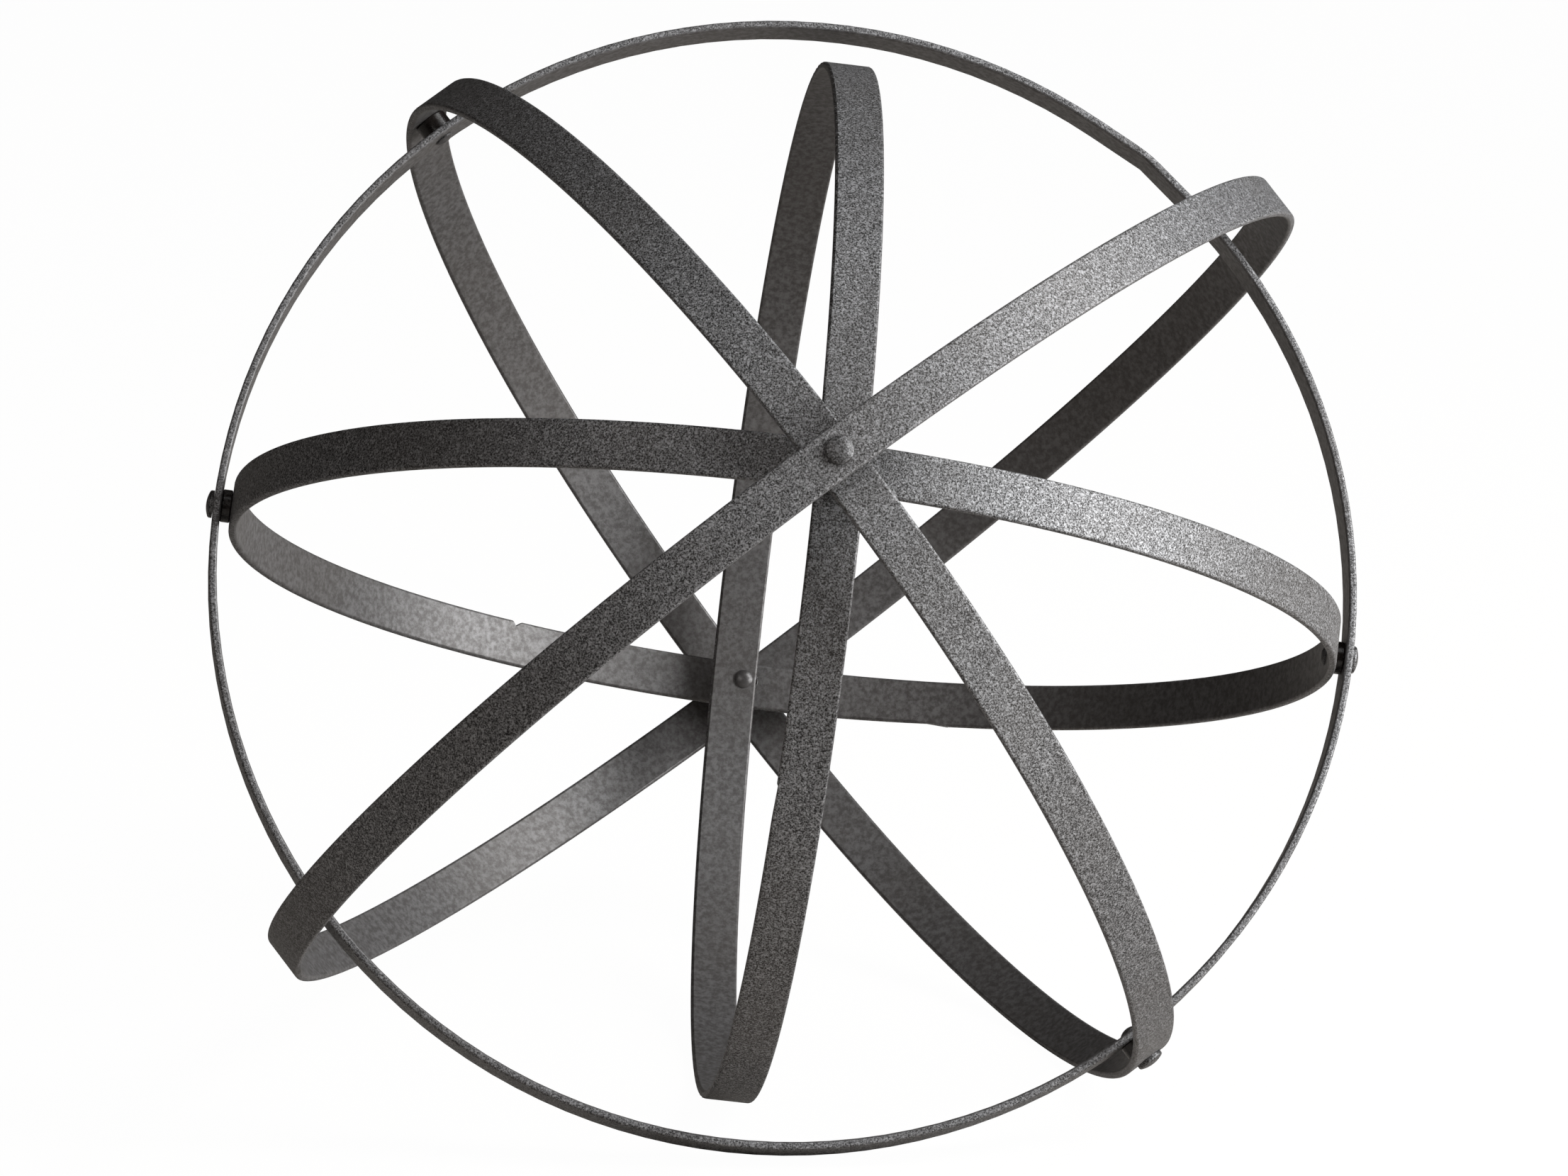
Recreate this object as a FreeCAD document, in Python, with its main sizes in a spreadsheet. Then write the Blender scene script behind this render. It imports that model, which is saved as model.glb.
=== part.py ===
import FreeCAD, Part

import math
import os

import Sketcher

Vector = FreeCAD.Vector
Rotation = FreeCAD.Rotation
Placement = FreeCAD.Placement

UP = Vector(0, 0, 1)

# Driving sizes in millimetres and degrees.
# The pole axis runs through the rivets that join the four upright rings.
# Ring radii are to the middle of the strap: the "equator" ones lie across the pole axis.
SIZES = {
    "strap_width": 19.05,
    "strap_thickness": 3.175,
    "edge_round": 1.0,
    "inner_radius": 208.0,
    "pole_gap": 9.525,
    "cross_equator": 222.4,
    "belt_radius": 229.6,
    "belt_weld": 57.2,
    "belt_weld_rise": 1.26,
    "belt_weld_blend": 60.0,
    "diagonal_equator": 239.2,
    "outer_equator": 250.3,
    "inner_lean": -1.1,
    "diagonal_angle": -45.7,
    "inner_angle": -88.6,
    "outer_angle": 44.3,
    "cross_weld": 243.2,
    "cross_weld_before": 1.8,
    "cross_weld_after": 3.1,
    "cross_weld_depth": 2.4,
    "cross_dip": 291.5,
    "cross_dip_before": 50.0,
    "cross_dip_after": 8.0,
    "cross_dip_depth": 0.9,
    "inner_weld": 56.3,
    "inner_weld_before": 15.0,
    "inner_weld_after": 0.8,
    "inner_weld_depth": 0.6,
    "rivet_diameter": 6.35,
    "hole_diameter": 6.45,
    "head_diameter": 11.1,
    "head_height": 2.9,
    "head_rim": 1.6,
    "head_round": 1.0,
    "tail_diameter": 7.6,
    "tail_height": 1.8,
    "tail_rim": 0.5,
    "spacer_diameter": 13.2,
    "spacer_round": 0.5,
    "head_gap": 0.05,
    "seat_relief": 0.15,
    "lean_relief": 0.25,
    "pole_tilt": 62.44,
    "pole_azimuth": 5.22,
    "pole_spin": -8.5,
}


class Size:
    """A size as a number, together with the sheet expression that gives it."""

    def __init__(self, number, text):
        self.number = number
        self.text = text

    def __add__(self, other):
        return Size(self.number + other.number, f"({self.text} + {other.text})")

    def __sub__(self, other):
        return Size(self.number - other.number, f"({self.text} - {other.text})")

    def __mul__(self, factor):
        return Size(self.number * factor, f"{self.text} * {factor}")

    def __truediv__(self, divisor):
        return Size(self.number / divisor, f"{self.text} / {divisor}")


def size(alias):
    """Look up one driving size by its alias."""
    return Size(SIZES[alias], f"Sizes.{alias}")


HALF_WIDTH = size("strap_width") / 2
HALF_THICKNESS = size("strap_thickness") / 2
STRAP_STEP = size("strap_thickness") + size("pole_gap")

# Radii of the rings' middles, at the poles and at the equator.
INNER_POLE = size("inner_radius")
CROSS_POLE = INNER_POLE + STRAP_STEP
DIAGONAL_POLE = CROSS_POLE + STRAP_STEP
OUTER_POLE = DIAGONAL_POLE + STRAP_STEP
CROSS_EQUATOR = size("cross_equator")
BELT_EQUATOR = size("belt_radius")
DIAGONAL_EQUATOR = size("diagonal_equator")
OUTER_EQUATOR = size("outer_equator")


def outside(middle):
    """Give the radius of a strap's outer face from that of its middle."""
    return middle + HALF_THICKNESS


def inside(middle):
    """Give the radius of a strap's inner face from that of its middle."""
    return middle - HALF_THICKNESS


def make_sheet(doc):
    """Write the driving sizes to a spreadsheet with one alias each."""
    sheet = doc.addObject("Spreadsheet::Sheet", "Sizes")
    for row, (alias, value) in enumerate(SIZES.items(), start=1):
        sheet.set(f"A{row}", alias)
        sheet.set(f"B{row}", str(value))
        sheet.setAlias(f"B{row}", alias)
    doc.recompute()


def attitude():
    """Turn the pole axis from straight up to the way it leans when the sphere rests."""
    azimuth = Rotation(UP, SIZES["pole_azimuth"])
    tilt = Rotation(Vector(1, 0, 0), SIZES["pole_tilt"])
    spin = Rotation(UP, SIZES["pole_spin"])
    return azimuth * tilt * spin


def new_body(doc, label, turn):
    """Start a named body, turned from upright by a rotation about the sphere's centre."""
    body = doc.addObject("PartDesign::Body", label)
    body.Label = label
    body.Placement = Placement(Vector(), attitude() * turn)
    return body


def add_sketch(body, role, name, axis=None, angle=None):
    """Attach a sketch to one of the body's own planes, turned about a sketch axis if asked."""
    plane = next(item for item in body.Origin.OriginFeatures if item.Role == role)
    sketch = body.newObject("Sketcher::SketchObject", name)
    sketch.AttachmentSupport = [(plane, "")]
    sketch.MapMode = "FlatFace"
    if axis:
        sketch.AttachmentOffset = Placement(Vector(), Rotation(axis, angle.number))
        sketch.setExpression("AttachmentOffset.Rotation.Angle", angle.text)
    return sketch


def bind(sketch, kind, references, name, length):
    """Add a named dimension to a sketch, driven from the sheet."""
    index = sketch.addConstraint(Sketcher.Constraint(kind, *references, length.number))
    sketch.renameConstraint(index, name)
    sketch.setExpression(f"Constraints.{name}", length.text)


def tie(sketch, kind, *references):
    """Add a constraint that carries no size."""
    sketch.addConstraint(Sketcher.Constraint(kind, *references))


def add_circle(sketch, name, radius):
    """Draw a circle about the sketch's origin."""
    circle = sketch.addGeometry(Part.Circle(Vector(), UP, radius.number), False)
    tie(sketch, "Coincident", circle, 3, -1, 1)
    bind(sketch, "Radius", (circle,), name, radius)


def add_ellipse(sketch, name, level, upright):
    """Draw an ellipse about the sketch's origin, its longer half-axis level."""
    ends = (Vector(level.number, 0, 0), Vector(0, upright.number, 0))
    ellipse = sketch.addGeometry(Part.Ellipse(*ends, Vector()), False)
    sketch.exposeInternalGeometry(ellipse)
    long_line = ellipse + 1
    short_line = ellipse + 2
    tie(sketch, "Coincident", ellipse, 3, -1, 1)
    tie(sketch, "Horizontal", long_line)
    bind(sketch, "Distance", (long_line,), f"{name}_level", level * 2)
    bind(sketch, "Distance", (short_line,), f"{name}_upright", upright * 2)


def add_peaked_circle(sketch, name, radius, peak):
    """Draw a circle whose two ends leave it straight and meet in a peak on the sketch's X axis."""
    half_turn = math.acos(radius.number / peak.number)
    bend = Part.ArcOfCircle(Part.Circle(Vector(), UP, radius.number), half_turn, math.tau - half_turn)
    apex = Vector(peak.number, 0, 0)
    arc = sketch.addGeometry(bend, False)
    leaving = sketch.addGeometry(Part.LineSegment(bend.EndPoint, apex), False)
    arriving = sketch.addGeometry(Part.LineSegment(apex, bend.StartPoint), False)
    tie(sketch, "Coincident", arc, 3, -1, 1)
    tie(sketch, "Tangent", arc, 2, leaving, 1)
    tie(sketch, "Coincident", leaving, 2, arriving, 1)
    tie(sketch, "Tangent", arriving, 2, arc, 1)
    tie(sketch, "PointOnObject", leaving, 2, -1)
    bind(sketch, "Radius", (arc,), name, radius)
    bind(sketch, "DistanceX", (-1, 1, leaving, 2), f"{name}_peak", peak)


def extrude_strap(body, sketch):
    """Give a ring's outline the strap's width, to both sides of the sketch."""
    pad = body.newObject("PartDesign::Pad", f"{body.Label}_strap")
    pad.Profile = sketch
    pad.SideType = "Symmetric"
    pad.setExpression("Length", "Sizes.strap_width")
    body.Document.recompute()
    return pad


def soften(body, strap):
    """Round the long edges of a ring, which run around its two flat sides."""
    flats = [face for face in strap.Shape.Faces if isinstance(face.Surface, Part.Plane)]
    sides = sorted(flats, key=lambda face: face.Area)[-2:]
    shortest = 2 * SIZES["strap_thickness"]
    around = [edge for side in sides for edge in side.Edges if edge.Length > shortest]
    edges = [
        f"Edge{n}"
        for n, edge in enumerate(strap.Shape.Edges, start=1)
        if any(edge.isSame(other) for other in around)
    ]
    softened = body.newObject("PartDesign::Fillet", f"{body.Label}_softened")
    softened.Base = (strap, edges)
    softened.setExpression("Radius", "Sizes.edge_round")


def roll_strap(body, polar, equator):
    """Roll one strap into a closed upright ring about the body's origin."""
    sketch = add_sketch(body, "XZ_Plane", f"{body.Label}_outline")
    add_ellipse(sketch, "outside", outside(equator), outside(polar))
    add_ellipse(sketch, "inside", inside(equator), inside(polar))
    return extrude_strap(body, sketch)


def drill(body, role, name, axis=None, angle=None):
    """Drill straight through both sides of a ring, square to one of the body's planes."""
    sketch = add_sketch(body, role, f"{name}_outline", axis, angle)
    add_circle(sketch, "hole", size("hole_diameter") / 2)
    pocket = body.newObject("PartDesign::Pocket", name)
    pocket.Profile = sketch
    pocket.Type = "ThroughAll"
    pocket.SideType = "Symmetric"


def nick(body, name, edge):
    """Cut a low V into one long edge of an upright ring, where its weld was left unfilled."""
    quarter_turn = Size(90, "90")
    facing = quarter_turn - size(name)
    sketch = add_sketch(body, "XY_Plane", f"{name}_outline", Vector(0, 1, 0), facing)
    depth = size(f"{name}_depth")
    before = size(f"{name}_before") * 2
    after = size(f"{name}_after") * 2
    mouth = HALF_WIDTH + depth
    tip = HALF_WIDTH - depth
    corners = [
        Vector(-after.number, edge * mouth.number, 0),
        Vector(before.number, edge * mouth.number, 0),
        Vector(0, edge * tip.number, 0),
    ]
    for start, end in zip(corners, corners[1:] + corners[:1]):
        sketch.addGeometry(Part.LineSegment(start, end), False)
    top, near, far = range(3)
    tie(sketch, "Coincident", top, 2, near, 1)
    tie(sketch, "Coincident", near, 2, far, 1)
    tie(sketch, "Coincident", far, 2, top, 1)
    tie(sketch, "Horizontal", top)
    tie(sketch, "PointOnObject", far, 1, -2)
    bind(sketch, "DistanceX", (top, 1, -1, 1), "after", after)
    bind(sketch, "DistanceX", (-1, 1, top, 2), "before", before)
    for label, line, height in (("mouth", top, mouth), ("tip", far, tip)):
        references = (-1, 1, line, 1) if edge > 0 else (line, 1, -1, 1)
        bind(sketch, "DistanceY", references, label, height)
    pocket = body.newObject("PartDesign::Pocket", name)
    pocket.Profile = sketch
    pocket.Type = "ThroughAll"
    pocket.Reversed = True
    body.Document.recompute()
    return pocket


def make_inner_ring(doc):
    """The smallest ring, drilled off its midline so that it leans about its level axis."""
    level = Vector(1, 0, 0)
    lean = Rotation(level, SIZES["inner_lean"])
    body = new_body(doc, "inner_ring", Rotation(UP, SIZES["inner_angle"]) * lean)
    sketch = add_sketch(body, "XZ_Plane", "inner_outline")
    add_circle(sketch, "outside", outside(INNER_POLE))
    add_circle(sketch, "inside", inside(INNER_POLE))
    soften(body, extrude_strap(body, sketch))
    nick(body, "inner_weld", -1)
    drill(body, "XY_Plane", "inner_pole_holes", level, size("inner_lean") * -1)


def make_cross_ring(doc):
    """The upright ring inside the belt, joined to it at the left and right."""
    body = new_body(doc, "cross_ring", Rotation())
    roll_strap(body, CROSS_POLE, CROSS_EQUATOR)
    soften(body, nick(body, "cross_dip", -1))
    drill(body, "XY_Plane", "cross_pole_holes")
    drill(body, "YZ_Plane", "cross_belt_holes")
    nick(body, "cross_weld", 1)


def make_belt_ring(doc):
    """The ring around the equator, bent a little at its weld and drilled for two upright rings."""
    body = new_body(doc, "belt_ring", Rotation())
    sketch = add_sketch(body, "XY_Plane", "belt_outline", UP, size("belt_weld"))
    for name, radius in (("outside", outside(BELT_EQUATOR)), ("inside", inside(BELT_EQUATOR))):
        add_peaked_circle(sketch, name, radius, radius + size("belt_weld_rise"))
    pad = extrude_strap(body, sketch)
    across = [edge for edge in pad.Shape.Edges if edge.BoundBox.ZLength > SIZES["strap_thickness"]]
    bend = max(across, key=lambda edge: edge.CenterOfMass.Length)
    number = next(n for n, edge in enumerate(pad.Shape.Edges, start=1) if edge.isSame(bend))
    ground = body.newObject("PartDesign::Fillet", "belt_weld_ground")
    ground.Base = (pad, [f"Edge{number}"])
    ground.setExpression("Radius", "Sizes.belt_weld_blend")
    doc.recompute()
    soften(body, ground)
    drill(body, "YZ_Plane", "belt_cross_holes")
    drill(body, "YZ_Plane", "belt_diagonal_holes", Vector(0, 1, 0), size("diagonal_angle"))


def make_diagonal_ring(doc):
    """The upright ring outside the belt, joined to it at the upper left and lower right."""
    body = new_body(doc, "diagonal_ring", Rotation(UP, SIZES["diagonal_angle"]))
    soften(body, roll_strap(body, DIAGONAL_POLE, DIAGONAL_EQUATOR))
    drill(body, "XY_Plane", "diagonal_pole_holes")
    drill(body, "YZ_Plane", "diagonal_belt_holes")


def make_outer_ring(doc):
    """The largest ring, held only at the poles."""
    body = new_body(doc, "outer_ring", Rotation(UP, SIZES["outer_angle"]))
    soften(body, roll_strap(body, OUTER_POLE, OUTER_EQUATOR))
    drill(body, "XY_Plane", "outer_pole_holes")


def dome(rim, apex):
    """Give the arc between a rim point and an apex on the axis, level at the apex."""
    rise = apex.y - rim.y
    radius = (rim.x**2 + rise**2) / (2 * rise)
    centre = Vector(0, apex.y - radius, 0)
    circle = Part.Circle(centre, UP, abs(radius))
    rim_angle = math.atan2(rim.y - centre.y, rim.x)
    ends = sorted((rim_angle, math.copysign(math.pi / 2, rise)))
    return Part.ArcOfCircle(circle, *ends)


def add_rivet_outline(sketch, inner_face, outer_face):
    """Draw half of a rivet's section: tail under the inner face, head over the outer one."""
    tail_radius = size("tail_diameter") / 2
    shank_radius = size("rivet_diameter") / 2
    head_radius = size("head_diameter") / 2
    tail_seat = inner_face - size("seat_relief")
    tail_rim = tail_seat - size("tail_rim")
    tail_end = tail_seat - size("tail_height")
    head_seat = outer_face + size("head_gap")
    head_rim = head_seat + size("head_rim")
    head_end = head_seat + size("head_height")
    corners = [
        (tail_radius, tail_rim),
        (tail_radius, tail_seat),
        (shank_radius, tail_seat),
        (shank_radius, head_seat),
        (head_radius, head_seat),
        (head_radius, head_rim),
    ]
    points = [Vector(x.number, y.number, 0) for x, y in corners]
    for start, end in zip(points, points[1:]):
        sketch.addGeometry(Part.LineSegment(start, end), False)
    tail_line, tail_face, shank, head_face, head_line = range(5)
    tail_apex = Vector(0, tail_end.number, 0)
    head_apex = Vector(0, head_end.number, 0)
    head_dome = sketch.addGeometry(dome(points[-1], head_apex), False)
    tail_dome = sketch.addGeometry(dome(points[0], tail_apex), False)
    middle = sketch.addGeometry(Part.LineSegment(head_apex, tail_apex), False)
    for line in (tail_line, shank, head_line, middle):
        tie(sketch, "Vertical", line)
    for line in (tail_face, head_face):
        tie(sketch, "Horizontal", line)
    for line in (tail_line, tail_face, shank, head_face):
        tie(sketch, "Coincident", line, 2, line + 1, 1)
    tie(sketch, "Coincident", head_line, 2, head_dome, 1)
    tie(sketch, "Coincident", head_dome, 2, middle, 1)
    tie(sketch, "Coincident", middle, 2, tail_dome, 1)
    tie(sketch, "Coincident", tail_dome, 2, tail_line, 1)
    tie(sketch, "PointOnObject", middle, 1, -2)
    tie(sketch, "PointOnObject", head_dome, 3, -2)
    tie(sketch, "PointOnObject", tail_dome, 3, -2)
    bind(sketch, "DistanceX", (-1, 1, tail_line, 1), "tail_radius", tail_radius)
    bind(sketch, "DistanceX", (-1, 1, shank, 1), "shank_radius", shank_radius)
    bind(sketch, "DistanceX", (-1, 1, head_line, 1), "head_radius", head_radius)
    bind(sketch, "DistanceY", (-1, 1, middle, 2), "tail_end", tail_end)
    bind(sketch, "DistanceY", (-1, 1, tail_line, 1), "tail_rim", tail_rim)
    bind(sketch, "DistanceY", (-1, 1, tail_line, 2), "tail_seat", tail_seat)
    bind(sketch, "DistanceY", (-1, 1, head_face, 1), "head_seat", head_seat)
    bind(sketch, "DistanceY", (-1, 1, head_line, 2), "head_rim", head_rim)
    bind(sketch, "DistanceY", (-1, 1, middle, 1), "head_end", head_end)


def rims_of(feature, radius):
    """Name the circular edges of one radius, the one nearest the sphere's centre first."""
    rims = [
        (edge.CenterOfMass.z, f"Edge{n}")
        for n, edge in enumerate(feature.Shape.Edges, start=1)
        if edge.isClosed() and math.isclose(edge.Length, math.tau * radius.number)
    ]
    return [name for height, name in sorted(rims)]


def round_over(body, feature, edges, alias):
    """Round some of a feature's edges to one of the driving radii."""
    rounded = body.newObject("PartDesign::Fillet", f"{body.Label}_rounded")
    rounded.Base = (feature, edges)
    rounded.setExpression("Radius", f"Sizes.{alias}")


def make_rivet(doc, label, turn, inner_face, outer_face):
    """Turn a rivet about its own upright axis, its tail towards the sphere's centre."""
    body = new_body(doc, label, turn)
    sketch = add_sketch(body, "XZ_Plane", f"{label}_outline")
    add_rivet_outline(sketch, inner_face, outer_face)
    turned = body.newObject("PartDesign::Revolution", f"{label}_turned")
    turned.Profile = sketch
    turned.ReferenceAxis = (sketch, ["V_Axis"])
    turned.Angle = 360
    doc.recompute()
    rims = rims_of(turned, size("head_diameter") / 2)
    round_over(body, turned, rims[-1:], "head_round")


def make_spacer(doc, label, turn, inner_end, outer_end):
    """Make the round spacer that fills a gap between two straps, its rims rounded over."""
    body = new_body(doc, label, turn)
    sketch = add_sketch(body, "XY_Plane", f"{label}_outline")
    sketch.AttachmentOffset = Placement(Vector(0, 0, inner_end.number), Rotation())
    sketch.setExpression("AttachmentOffset.Base.z", inner_end.text)
    radius = size("spacer_diameter") / 2
    add_circle(sketch, "bore", size("hole_diameter") / 2)
    add_circle(sketch, "outside", radius)
    pad = body.newObject("PartDesign::Pad", f"{label}_sleeve")
    pad.Profile = sketch
    pad.setExpression("Length", (outer_end - inner_end).text)
    doc.recompute()
    round_over(body, pad, rims_of(pad, radius), "spacer_round")


def make_pole_joint(doc, place, turn):
    """One long rivet through the four upright rings, with a spacer in each of their gaps."""
    make_rivet(doc, f"{place}_pole_rivet", turn, inside(INNER_POLE), outside(OUTER_POLE))
    leaning_face = outside(INNER_POLE) + size("lean_relief")
    gaps = (
        ("inner", leaning_face, CROSS_POLE),
        ("middle", outside(CROSS_POLE), DIAGONAL_POLE),
        ("outer", outside(DIAGONAL_POLE), OUTER_POLE),
    )
    for gap, inner_end, next_ring in gaps:
        outer_end = inside(next_ring) - size("seat_relief")
        make_spacer(doc, f"{place}_pole_spacer_{gap}", turn, inner_end, outer_end)


def make_belt_joint(doc, place, azimuth, inner_ring, outer_ring):
    """One short rivet and spacer where an upright ring is fastened to the belt."""
    turn = Rotation(UP, azimuth) * Rotation(Vector(0, 1, 0), 90)
    make_rivet(doc, f"{place}_belt_rivet", turn, inside(inner_ring), outside(outer_ring))
    outer_end = inside(outer_ring) - size("seat_relief")
    make_spacer(doc, f"{place}_belt_spacer", turn, outside(inner_ring), outer_end)


def check_and_export(doc):
    """Stop on any broken object, then write each body to its own file."""
    for item in doc.Objects:
        if {"Invalid", "Error"} & set(item.State):
            raise RuntimeError(f"{item.Name} did not compute: {item.State}")
    os.makedirs("parts", exist_ok=True)
    for body in doc.findObjects("PartDesign::Body"):
        if body.Shape.isNull() or not body.Shape.isValid() or len(body.Shape.Solids) != 1:
            raise RuntimeError(f"{body.Label} is not one valid solid")
        body.Shape.exportStep(f"parts/{body.Label}.step")


doc = FreeCAD.newDocument("strap_sphere")
make_sheet(doc)
make_inner_ring(doc)
make_cross_ring(doc)
make_belt_ring(doc)
make_diagonal_ring(doc)
make_outer_ring(doc)
make_pole_joint(doc, "front", Rotation())
make_pole_joint(doc, "back", Rotation(Vector(1, 0, 0), 180))
make_belt_joint(doc, "right", 0, CROSS_EQUATOR, BELT_EQUATOR)
make_belt_joint(doc, "left", 180, CROSS_EQUATOR, BELT_EQUATOR)
make_belt_joint(doc, "lower", SIZES["diagonal_angle"], BELT_EQUATOR, DIAGONAL_EQUATOR)
make_belt_joint(doc, "upper", SIZES["diagonal_angle"] + 180, BELT_EQUATOR, DIAGONAL_EQUATOR)
doc.recompute()
check_and_export(doc)
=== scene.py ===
import math

import bpy
import numpy as np
from mathutils import Matrix, Vector


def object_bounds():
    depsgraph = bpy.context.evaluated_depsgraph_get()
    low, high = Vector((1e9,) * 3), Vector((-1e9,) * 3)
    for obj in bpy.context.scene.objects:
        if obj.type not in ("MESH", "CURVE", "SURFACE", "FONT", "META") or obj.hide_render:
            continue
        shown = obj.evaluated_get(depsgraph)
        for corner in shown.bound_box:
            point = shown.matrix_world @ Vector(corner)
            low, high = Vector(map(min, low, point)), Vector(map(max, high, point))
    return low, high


MM = 0.001

# Camera, read from how the rings' outlines foreshorten: a long lens looking slightly down.
CAMERA_DISTANCE = 3.531
CAMERA_ELEVATION = math.radians(16.1)
CAMERA_ROLL = math.radians(0.88)
CAMERA_AIM = Vector((0, 0, -2.4 * MM))
CAMERA_LENS_MM = 201.5
CAMERA_SENSOR_MM = 36.0

# Softboxes, all facing the sphere's centre from one distance. Each hangs at an azimuth that runs
# from the camera to its right and an elevation above level, both in degrees. Sizes are in metres
# and power is in watts.
SOFTBOX_DISTANCE = 2.3
DAYLIGHT = (0.99, 0.995, 1.0)
SKYLIGHT = (0.98, 0.99, 1.0)
WARM_LIGHT = (1.0, 0.95, 0.92)
SOFTBOXES = {
    "upper_key_light": {"place": (80, 42), "size": (1.1, 1.1), "power": 44.0, "tint": DAYLIGHT},
    "lower_key_light": {"place": (70, 11), "size": (1.3, 0.9), "power": 56.0, "tint": DAYLIGHT},
    "top_light": {"place": (45, 68), "size": (1.1, 1.1), "power": 4.0, "tint": SKYLIGHT},
    "fill_light": {"place": (332, 35), "size": (1.3, 1.1), "power": 7.5, "tint": WARM_LIGHT},
}

# Surroundings: the camera sees them washed out to white, the sphere sees them dim and warm.
WHITE = (1.0, 1.0, 1.0)
ROOM_TINT = (1.0, 0.85, 0.76)
ROOM_GLOW = 0.02
BACKDROP_GLOW = 1.0
FLOOR_REACH = 6.0
FLOOR_TONES = ((0.44, 0.41, 0.38), (0.47, 0.44, 0.41))
FLOOR_PATCHES_PER_METRE = 3.0
FLOOR_ROUGHNESS = 0.9
FLOOR_SHEEN = 0.1
FLOOR_GLOW = 1.04
FLOOR_WASHED_OUT = 0.94

# Powder coat: how many grains, flakes or patches of each noise fit in a metre.
GRAIN_PER_METRE = 1650.0
FLAKES_PER_METRE = 1500.0
MOTTLE_PER_METRE = 420.0
DRIFT_PER_METRE = 14.0

# Where each feature of the coat starts to show in its noise, and where it shows in full.
GRAIN_STEP = (0.37, 0.65)
MOTTLE_STEP = (0.34, 0.68)
FLAKE_STEP = (0.72, 0.95)
DUST_STEP = (0.35, 0.7)
FLAKE_STRENGTH = 0.5
DUST_STRENGTH = 0.2

# Relief and gloss of the coat. A gloss is a noise's low and high end, then the roughness at each.
GRAIN_DEPTH = 0.25 * MM
GRAIN_BUMP = 0.7
CALM_RELIEF = 0.25
GRAIN_GLOSS = (0.2, 0.8, 0.6, 0.42)
CALM_GLOSS = (0.3, 0.75, 0.48, 0.41)
METAL_SHARE = 0.35

# A painted highlight of lighter grey along the long edges of the rings, and the rivets'
# darker, smoother coat.
EDGE_HIGHLIGHT_WIDTH = 0.8 * MM
EDGE_HIGHLIGHT_RIM = 0.1 * MM
EDGE_HIGHLIGHT_STRENGTH = 0.12
RIVET_SHADE = 0.35
RIVET_POLISH = 0.14

# Powder coat colours.
PIT_BLACK = (0.006, 0.0055, 0.005)
GRAIN_GREY = (0.265, 0.265, 0.27)
FLAKE_SILVER = (0.52, 0.525, 0.54)
CALM_DARK = (0.080, 0.076, 0.074)
CALM_LIGHT = (0.170, 0.167, 0.168)
DUST_BROWN = (0.10, 0.088, 0.078)
# Lighter grey of the painted highlight along the rings' long edges.
EDGE_HIGHLIGHT_GREY = (0.22, 0.22, 0.23)

# The coat goes over from its inward look to its outward one between these distances, in metres,
# from the centre to a surface's tangent plane. They are negative where a surface faces inwards.
FACES_INWARDS = -0.14
FACES_OUTWARDS = -0.03

# Spacers: their noises, the film of dust, the gloss (as for the coat), the relief and colours.
SPACER_DUST_PER_METRE = 900.0
SPACER_WAVES_PER_METRE = 260.0
SPACER_FILM_STEP = (0.55, 0.8)
SPACER_FILM_STRENGTH = 0.6
SPACER_GLOSS = (0.4, 0.8, 0.2, 0.45)
SPACER_BUMP = 0.2
SPACER_WAVE_DEPTH = 0.1 * MM
SPACER_BLACK = (0.012, 0.009, 0.008)
SPACER_DUST = (0.04, 0.034, 0.03)

RINGS = ("inner_ring", "cross_ring", "belt_ring", "diagonal_ring", "outer_ring")


def feed(socket, value):
    """Give a node's socket a fixed value, or link another node's output to it."""
    if isinstance(value, bpy.types.NodeSocket):
        socket.id_data.links.new(value, socket)
    else:
        socket.default_value = value


def opaque(colour):
    """Add a full alpha to a plain colour, and leave a socket as it is."""
    if isinstance(colour, bpy.types.NodeSocket):
        return colour
    return (*colour, 1.0)


class Shader:
    """A small helper that adds nodes to one material and wires them by value or by socket."""

    def __init__(self, name):
        self.material = bpy.data.materials.new(name)
        self.material.use_nodes = True
        self.tree = self.material.node_tree
        self.tree.nodes.clear()

    def add(self, kind, inputs=None, **settings):
        """Add a node, feed its inputs and apply its settings."""
        node = self.tree.nodes.new(kind)
        for key, value in settings.items():
            setattr(node, key, value)
        for key, value in (inputs or {}).items():
            feed(node.inputs[key], value)
        return node

    def math(self, operation, *values):
        """Combine values with one operation of the math node."""
        node = self.add("ShaderNodeMath", dict(enumerate(values)), operation=operation)
        return node.outputs[0]

    def dot(self, a, b):
        """Give the dot product of two vectors."""
        node = self.add("ShaderNodeVectorMath", {0: a, 1: b}, operation="DOT_PRODUCT")
        return node.outputs["Value"]

    def ramp(self, value, low, high, to_low=0.0, to_high=1.0):
        """Turn a value into another range, with a smooth start and end."""
        limits = {"From Min": low, "From Max": high, "To Min": to_low, "To Max": to_high}
        node = self.add(
            "ShaderNodeMapRange", {"Value": value, **limits}, interpolation_type="SMOOTHSTEP"
        )
        return node.outputs["Result"]

    def mix(self, factor, a, b):
        """Mix two colours, each a plain colour or another node's output."""
        node = self.add("ShaderNodeMix", data_type="RGBA")
        # The mix node's sockets share their names, so its colour ones go by their places.
        for place, value in ((0, factor), (6, opaque(a)), (7, opaque(b))):
            feed(node.inputs[place], value)
        return node.outputs[2]

    def noise(self, position, scale, detail=2.0, roughness=0.5):
        """Give cloudy noise from 0 to 1."""
        settings = {"Vector": position, "Scale": scale, "Detail": detail, "Roughness": roughness}
        return self.add("ShaderNodeTexNoise", settings).outputs["Fac"]

    def bump(self, height, strength, distance):
        """Give a normal that follows a height."""
        settings = {"Height": height, "Strength": strength, "Distance": distance}
        return self.add("ShaderNodeBump", settings).outputs["Normal"]

    def finish(self, surface):
        """Connect the surface and give the finished material."""
        output = self.add("ShaderNodeOutputMaterial")
        self.tree.links.new(surface.outputs[0], output.inputs["Surface"])
        return self.material


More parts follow.
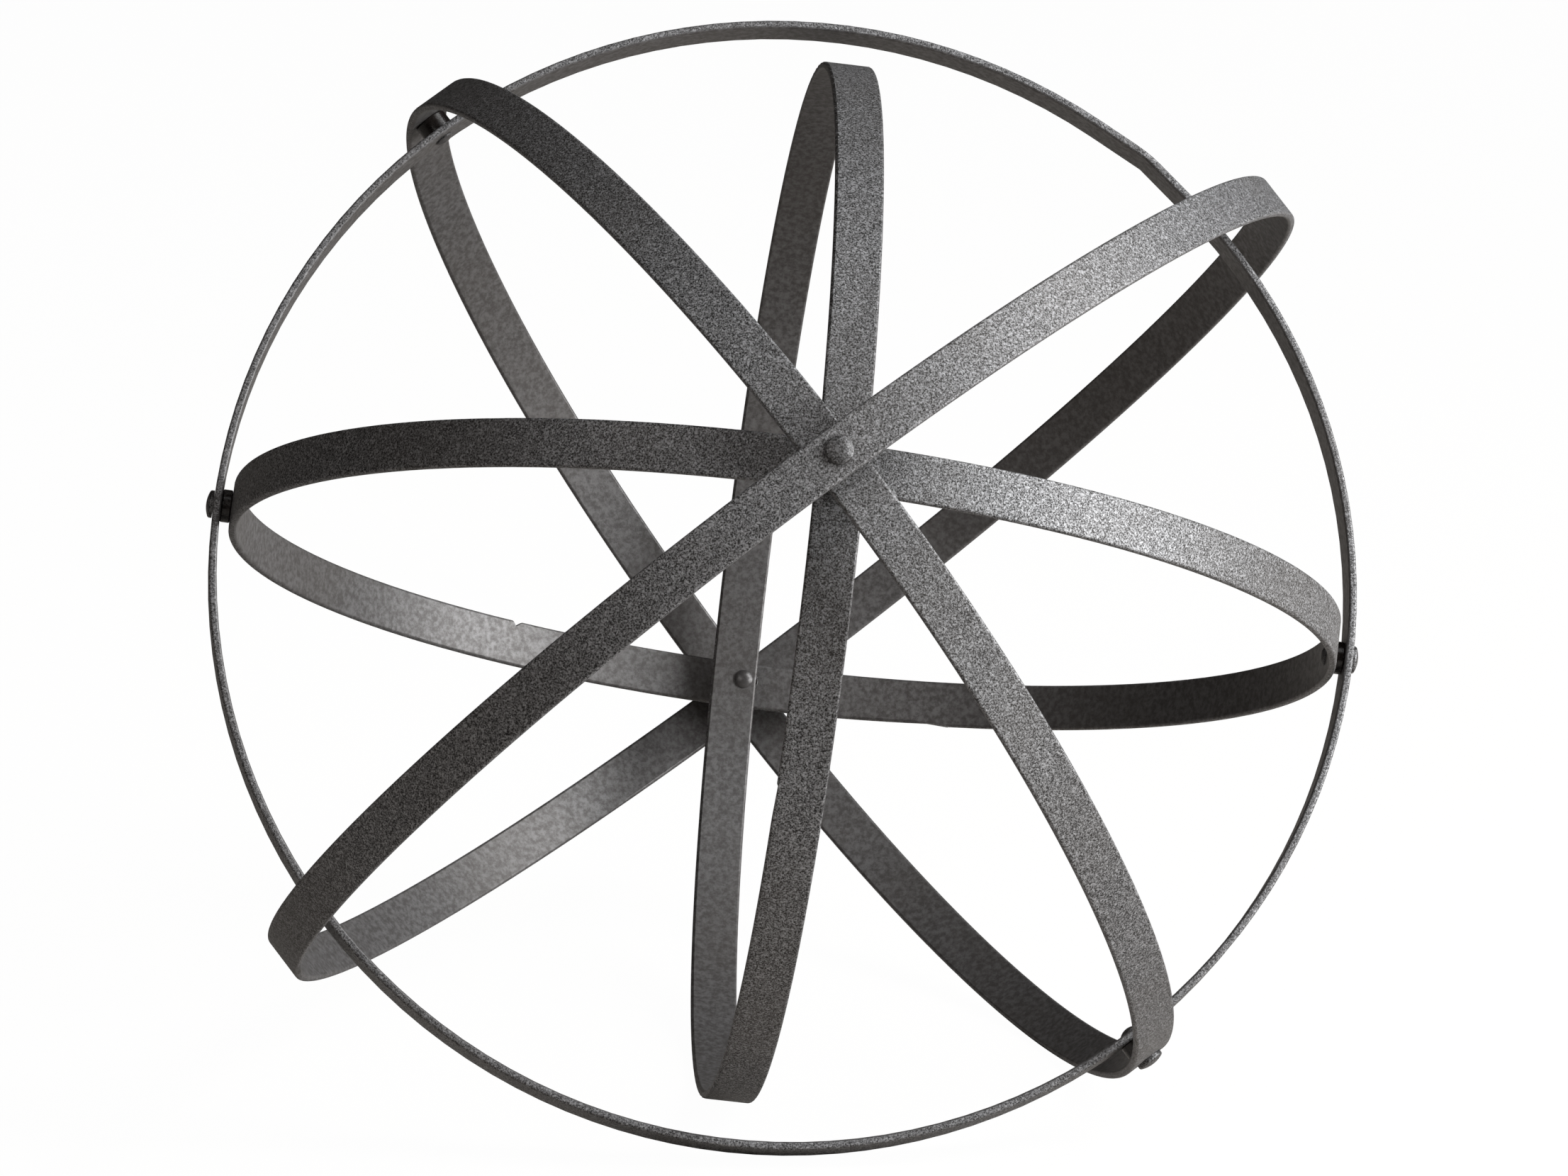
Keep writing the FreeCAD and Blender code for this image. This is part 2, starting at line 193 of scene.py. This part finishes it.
def wound_about(node):
    """Give the axis a ring is wound about and its half width, from the spread of its vertices."""
    points = np.array([vertex.co for vertex in node.data.vertices])
    directions = np.linalg.eigh(np.cov(points.T))[1]
    axis = directions[:, 0]
    return Vector(axis), float(np.abs(points @ axis).max())


def coat_colour(shader, position, outer_face, grain, mottle):
    """Colour the coat: pits, grains and silver flakes outside, a calm mottle inside, some dust."""
    flake = shader.add("ShaderNodeTexVoronoi", {"Vector": position, "Scale": FLAKES_PER_METRE})
    flake_chance = shader.add("ShaderNodeSeparateColor", {"Color": flake.outputs["Color"]})
    sparkle = shader.ramp(flake_chance.outputs["Red"], *FLAKE_STEP, to_high=FLAKE_STRENGTH)
    rough = shader.mix(shader.ramp(grain, *GRAIN_STEP), PIT_BLACK, GRAIN_GREY)
    rough = shader.mix(sparkle, rough, FLAKE_SILVER)
    calm = shader.mix(shader.ramp(mottle, *MOTTLE_STEP), CALM_DARK, CALM_LIGHT)
    drift = shader.noise(position, DRIFT_PER_METRE)
    dust = shader.ramp(drift, *DUST_STEP, to_high=DUST_STRENGTH)
    return shader.mix(dust, shader.mix(outer_face, calm, rough), DUST_BROWN)


def powder_coat(name, ring=None):
    """Textured graphite powder coat: coarse sparkling grain facing outwards, calmer inwards.

    A ring's long edges carry a painted highlight of lighter grey. Without a ring, the coat is the
    darker, smoother one of the rivets.
    """
    shader = Shader(name)
    place = shader.add("ShaderNodeTexCoord")
    position = place.outputs["Object"]
    outward = shader.dot(place.outputs["Normal"], position)
    outer_face = shader.ramp(outward, FACES_INWARDS, FACES_OUTWARDS)
    grain = shader.noise(position, GRAIN_PER_METRE, detail=3.0, roughness=0.6)
    mottle = shader.noise(position, MOTTLE_PER_METRE, detail=4.0, roughness=0.7)

    colour = coat_colour(shader, position, outer_face, grain, mottle)
    rough_gloss = shader.ramp(grain, *GRAIN_GLOSS)
    calm_gloss = shader.ramp(mottle, *CALM_GLOSS)
    apart = shader.math("SUBTRACT", rough_gloss, calm_gloss)
    roughness = shader.math("MULTIPLY_ADD", apart, outer_face, calm_gloss)
    if ring:
        # A ring gets a painted highlight: lighter grey mixed in along its long edges.
        axis, half_width = wound_about(ring)
        across = shader.math("ABSOLUTE", shader.dot(position, axis))
        highlight_ends = (half_width - EDGE_HIGHLIGHT_WIDTH, half_width - EDGE_HIGHLIGHT_RIM)
        edge_highlight = shader.ramp(across, *highlight_ends, to_high=EDGE_HIGHLIGHT_STRENGTH)
        colour = shader.mix(edge_highlight, colour, EDGE_HIGHLIGHT_GREY)
    else:
        colour = shader.mix(RIVET_SHADE, colour, PIT_BLACK)
        roughness = shader.math("SUBTRACT", roughness, RIVET_POLISH)

    relief = shader.math("MULTIPLY", grain, shader.ramp(outer_face, 0.0, 1.0, CALM_RELIEF, 1.0))
    coat = shader.add(
        "ShaderNodeBsdfPrincipled",
        {
            "Base Color": colour,
            "Roughness": roughness,
            "Metallic": METAL_SHARE,
            "Normal": shader.bump(relief, GRAIN_BUMP, GRAIN_DEPTH),
        },
    )
    return shader.finish(coat)


def spacer_material():
    """Glossy black sleeve with a faint film of dust."""
    shader = Shader("spacer_gloss_black")
    position = shader.add("ShaderNodeTexCoord").outputs["Object"]
    dust = shader.noise(position, SPACER_DUST_PER_METRE, detail=4.0, roughness=0.6)
    wave = shader.noise(position, SPACER_WAVES_PER_METRE)
    film = shader.ramp(dust, *SPACER_FILM_STEP, to_high=SPACER_FILM_STRENGTH)
    gloss = shader.add(
        "ShaderNodeBsdfPrincipled",
        {
            "Base Color": shader.mix(film, SPACER_BLACK, SPACER_DUST),
            "Roughness": shader.ramp(dust, *SPACER_GLOSS),
            "Normal": shader.bump(wave, SPACER_BUMP, SPACER_WAVE_DEPTH),
        },
    )
    return shader.finish(gloss)


def floor_material():
    """Plain pale studio floor."""
    shader = Shader("studio_floor")
    position = shader.add("ShaderNodeTexCoord").outputs["Object"]
    colour = shader.mix(shader.noise(position, FLOOR_PATCHES_PER_METRE), *FLOOR_TONES)
    paint = shader.add(
        "ShaderNodeBsdfPrincipled",
        {"Base Color": colour, "Roughness": FLOOR_ROUGHNESS, "Specular IOR Level": FLOOR_SHEEN},
    )
    glow = shader.add("ShaderNodeEmission", {"Color": opaque(WHITE), "Strength": FLOOR_GLOW})
    seen = shader.add("ShaderNodeLightPath").outputs["Is Camera Ray"]
    washed_out = shader.math("MULTIPLY", seen, FLOOR_WASHED_OUT)
    both = {0: washed_out, 1: paint.outputs[0], 2: glow.outputs[0]}
    return shader.finish(shader.add("ShaderNodeMixShader", both))


def dress(node, material):
    """Give a CAD node one material."""
    node.data.materials.clear()
    node.data.materials.append(material)


def dress_all(nodes):
    """Coat the rings and rivets, and leave the spacers glossy black."""
    rivet_coat = powder_coat("rivet_powder_coat")
    spacer_black = spacer_material()
    for name, node in nodes.items():
        if name in RINGS:
            dress(node, powder_coat(f"{name}_powder_coat", node))
        elif "rivet" in name:
            dress(node, rivet_coat)
        else:
            dress(node, spacer_black)


def add_floor(height):
    """Lay a wide floor just under the object."""
    sides = ((-1, -1), (1, -1), (1, 1), (-1, 1))
    corners = [(x * FLOOR_REACH, y * FLOOR_REACH, 0) for x, y in sides]
    mesh = bpy.data.meshes.new("studio_floor")
    mesh.from_pydata(corners, [], [(0, 1, 2, 3)])
    floor = bpy.data.objects.new("studio_floor", mesh)
    floor.location.z = height
    bpy.context.scene.collection.objects.link(floor)
    floor.data.materials.append(floor_material())


def add_softbox(name, place, size, power, tint):
    """Hang a softbox that faces the sphere's centre."""
    light = bpy.data.lights.new(name, "AREA")
    light.shape = "RECTANGLE"
    light.size, light.size_y = size
    light.energy = power
    light.color = tint
    around, up = map(math.radians, place)
    level = math.cos(up)
    towards = Vector((math.sin(around) * level, -math.cos(around) * level, math.sin(up)))
    holder = bpy.data.objects.new(name, light)
    holder.location = towards * SOFTBOX_DISTANCE
    holder.rotation_euler = (-towards).to_track_quat("-Z", "Y").to_euler()
    bpy.context.scene.collection.objects.link(holder)


def add_world():
    """A white surround that the camera sees, and a dim one that lights the object."""
    world = bpy.data.worlds.new("studio")
    bpy.context.scene.world = world
    world.use_nodes = True
    tree = world.node_tree
    tree.nodes.clear()
    mix = tree.nodes.new("ShaderNodeMixShader")
    surrounds = ((ROOM_TINT, ROOM_GLOW), (WHITE, BACKDROP_GLOW))
    for index, (tint, strength) in enumerate(surrounds, start=1):
        surround = tree.nodes.new("ShaderNodeBackground")
        surround.inputs["Color"].default_value = opaque(tint)
        surround.inputs["Strength"].default_value = strength
        tree.links.new(surround.outputs[0], mix.inputs[index])
    path = tree.nodes.new("ShaderNodeLightPath")
    output = tree.nodes.new("ShaderNodeOutputWorld")
    tree.links.new(path.outputs["Is Camera Ray"], mix.inputs[0])
    tree.links.new(mix.outputs[0], output.inputs["Surface"])


def add_camera():
    """Put the camera where the photograph was taken from."""
    camera = bpy.data.cameras.new("camera")
    camera.lens = CAMERA_LENS_MM
    camera.sensor_width = CAMERA_SENSOR_MM
    holder = bpy.data.objects.new("camera", camera)
    back = Vector((0, -math.cos(CAMERA_ELEVATION), math.sin(CAMERA_ELEVATION)))
    turn = (-back).to_track_quat("-Z", "Y").to_matrix().to_4x4()
    roll = Matrix.Rotation(CAMERA_ROLL, 4, "Z")
    holder.matrix_world = Matrix.Translation(CAMERA_AIM + back * CAMERA_DISTANCE) @ turn @ roll
    bpy.context.scene.collection.objects.link(holder)
    bpy.context.scene.camera = holder


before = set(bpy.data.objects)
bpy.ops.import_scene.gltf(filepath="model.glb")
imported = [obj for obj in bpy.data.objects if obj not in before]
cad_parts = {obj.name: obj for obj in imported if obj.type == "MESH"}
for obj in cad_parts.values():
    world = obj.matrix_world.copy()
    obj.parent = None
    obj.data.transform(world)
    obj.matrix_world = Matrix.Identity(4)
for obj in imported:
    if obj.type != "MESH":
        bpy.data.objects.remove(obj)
cad_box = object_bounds()

dress_all(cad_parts)
add_floor(cad_box[0][2])
for name, softbox in SOFTBOXES.items():
    add_softbox(name, **softbox)
add_world()
add_camera()
bpy.context.scene.view_settings.view_transform = "Standard"
